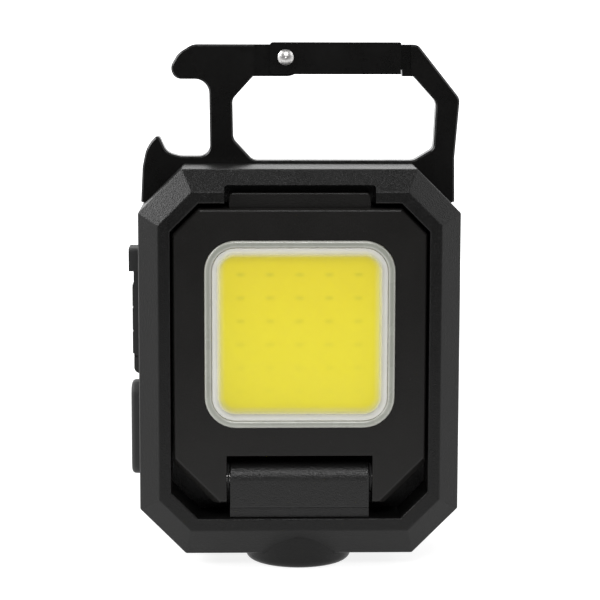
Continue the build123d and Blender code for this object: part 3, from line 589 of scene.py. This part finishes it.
def makePortCover(look):
    # a rubber flap with three ribs, a finger tab and a nose that plugs the port
    low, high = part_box("port_cover")
    front, back = low.x + look["tabRise"], high.x - look["noseReach"]
    width, height = high.y - low.y, high.z - low.z
    middle = (low.z + high.z) / 2
    flap = slab(width, height, back - front, look["corner"], 0)
    for k in range(look["ribs"]):
        start = -height / 2 + look["ribStart"] + k * (look["ribLength"] + look["ribGap"])
        push(flap, 1, look["ribRise"], -width / 2 + look["ribInset"], width / 2 - look["ribInset"],
             start, start + look["ribLength"])
    push(flap, 1, look["tabRise"], -width, width, height / 2 - look["tabLength"], height)
    socketLow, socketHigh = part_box("usb_socket_tongue")
    port = (socketLow.z + socketHigh.z) / 2 - middle
    push(flap, -1, look["noseReach"], -look["noseWidth"] / 2, look["noseWidth"] / 2,
         port - look["noseLength"] / 2, port + look["noseLength"] / 2)
    softenEdges(flap, look["edge"])
    placed(flap, toLeft, (back, (low.y + high.y) / 2, middle))
    joined("portFlap", [flap], rubber, "port_cover", "port_cover")


makePortCover(portCover)

modeButton = {
    "width": 5.5 * mm,
    "length": 13.8 * mm,
    "corner": 2.0 * mm,
    "edge": 0.6 * mm,
    "flange": 0.6 * mm,
    "dishInset": 0.7 * mm,
    "dishDrop": 0.16 * mm,
    "gripHalf": 1.1 * mm,
    "gripPitch": 0.9 * mm,
    "gripWidth": 0.35 * mm,
    "grips": 5,
}


def makeModeButton(look):
    # a long rubber cap with a shallow dish and short grip bars across it, on a flange inside the wall
    low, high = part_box("mode_button")
    middle = ((low.y + high.y) / 2, (low.z + high.z) / 2)
    thick = high.x - low.x - look["flange"]
    cap = slab(look["width"], look["length"], thick, look["corner"], look["edge"], segments=4)
    top = max(cap.faces, key=lambda f: f.calc_center_median().z)
    bmesh.ops.inset_region(cap, faces=[top], thickness=look["dishInset"], depth=-look["dishDrop"],
                           use_even_offset=True)
    for k in range(look["grips"]):
        start = (k - (look["grips"] - 1) / 2) * look["gripPitch"] - look["gripWidth"] / 2
        push(cap, 1, look["dishDrop"] * 0.9, -look["gripHalf"], look["gripHalf"],
             start, start + look["gripWidth"])
    placed(cap, toLeft, (high.x - look["flange"], *middle))
    flange = slab(high.y - low.y, high.z - low.z, look["flange"], 0.3 * mm, 0)
    placed(flange, toLeft, (high.x, *middle))
    joined("buttonCap", [cap, flange], rubber, "mode_button", "mode_button")


makeModeButton(modeButton)
print("side controls made")

camera = {
    "distance": 300 * mm,
    "azimuth": -1.42,
    "elevation": 8.0,
    "roll": 0.126,
    "lens": 127.04,
    "belowTop": 18.4 * mm,
}


def setCamera():
    low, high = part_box("front_housing")
    aim = Vector((0, low.y, high.z - camera["belowTop"]))
    azimuth = math.radians(camera["azimuth"])
    elevation = math.radians(camera["elevation"])
    back = Vector((math.sin(azimuth) * math.cos(elevation),
                   -math.cos(azimuth) * math.cos(elevation), math.sin(elevation)))
    made = bpy.data.objects.new("camera", bpy.data.cameras.new("camera"))
    bpy.context.scene.collection.objects.link(made)
    made.data.lens = camera["lens"]
    made.data.clip_start = 0.01
    made.location = aim + back * camera["distance"]
    roll = Matrix.Rotation(math.radians(camera["roll"]), 3, "Z")
    made.rotation_euler = ((-back).to_track_quat("-Z", "Y").to_matrix() @ roll).to_euler()
    bpy.context.scene.camera = made


setCamera()


def addLight(name, place, target, size, power):
    data = bpy.data.lights.new(name, "AREA")
    data.shape = "RECTANGLE"
    data.size, data.size_y = size
    data.energy = power
    made = bpy.data.objects.new(name, data)
    made.location = place
    made.rotation_euler = (Vector(target) - Vector(place)).to_track_quat("-Z", "Y").to_euler()
    bpy.context.scene.collection.objects.link(made)


studio = {
    "softboxHeight": 0.34,
    "softboxSide": 0.42,
    "softboxSize": (0.30, 0.30),
    "leftPower": 2.4,
    "rightPower": 0.55,
    "topPower": 0.85,
    "frontPower": 1.5,
    "cardPower": 0.15,
    "floorHalf": 0.35,
    "floorFront": -0.12,
    "floorBack": 0.3,
    "floorDrop": 0.05 * mm,
    "paper": 0.3,
    "paperGlow": 0.85,
    "ahead": 0.05,
    "behind": 1.7,
}


def makeFloor(look):
    # a pale paper floor, cut short in front of the subject
    mesh = bmesh.new()
    bmesh.ops.create_grid(mesh, x_segments=1, y_segments=1, size=1)
    halfLength = (look["floorBack"] - look["floorFront"]) / 2
    bmesh.ops.scale(mesh, vec=(look["floorHalf"], halfLength, 1), verts=mesh.verts)
    bmesh.ops.translate(mesh, vec=(0, look["floorFront"] + halfLength, -look["floorDrop"]), verts=mesh.verts)
    data = bpy.data.meshes.new("floor")
    mesh.to_mesh(data)
    mesh.free()
    paper = Shader("palePaper", Roughness=0.9, Specular_IOR_Level=0.1,
                   Emission_Color=(1, 1, 1, 1), Emission_Strength=look["paperGlow"])
    paper.feed("Base Color", paper.tint(paper.noise(0.4), grey(look["paper"]), grey(look["paper"] * 1.03)))
    data.materials.append(paper.material)
    floor = bpy.data.objects.new("floor", data)
    bpy.context.scene.collection.objects.link(floor)


def makeWorld(look):
    # a white studio that lights the subject from behind and below and is dim ahead and above
    world = bpy.data.worlds.new("studio")
    world.use_nodes = True
    tree = world.node_tree
    place = tree.nodes.new("ShaderNodeTexCoord")
    toward = tree.nodes.new("ShaderNodeVectorMath")
    toward.operation = "DOT_PRODUCT"
    toward.inputs[1].default_value = (0, 0.8, -0.6)
    ramp = tree.nodes.new("ShaderNodeMapRange")
    tree.links.new(place.outputs["Generated"], toward.inputs[0])
    tree.links.new(toward.outputs["Value"], ramp.inputs[0])
    for slot, value in ((1, -0.7), (2, 0.7), (3, look["ahead"]), (4, look["behind"])):
        ramp.inputs[slot].default_value = value
    seen = tree.nodes.new("ShaderNodeLightPath")
    bright = tree.nodes.new("ShaderNodeMath")
    bright.operation = "MAXIMUM"
    tree.links.new(ramp.outputs[0], bright.inputs[0])
    tree.links.new(seen.outputs["Is Camera Ray"], bright.inputs[1])
    tree.links.new(bright.outputs[0], tree.nodes["Background"].inputs[1])
    tree.nodes["Background"].inputs[0].default_value = (1, 1, 1, 1)
    bpy.context.scene.world = world


middle = (0, 0, (cadLow.z + cadHigh.z) / 2)
side, height = studio["softboxSide"], studio["softboxHeight"]
addLight("leftSoftbox", (-side, -0.04, height), middle, studio["softboxSize"], studio["leftPower"])
addLight("rightSoftbox", (side, -0.04, height), middle, studio["softboxSize"], studio["rightPower"])
addLight("topSoftbox", (0, 0.16, 0.5), middle, (0.4, 0.2), studio["topPower"])
addLight("frontSoftbox", (0.03, -0.42, 0.40), middle, (0.22, 0.22), studio["frontPower"])
addLight("leftCard", (-0.5, -0.05, 0.04), middle, (0.2, 0.4), studio["cardPower"])
addLight("rightCard", (0.5, -0.05, 0.04), middle, (0.2, 0.4), studio["cardPower"])
makeFloor(studio)
makeWorld(studio)
bpy.context.scene.view_settings.view_transform = "Standard"
print("stage set")
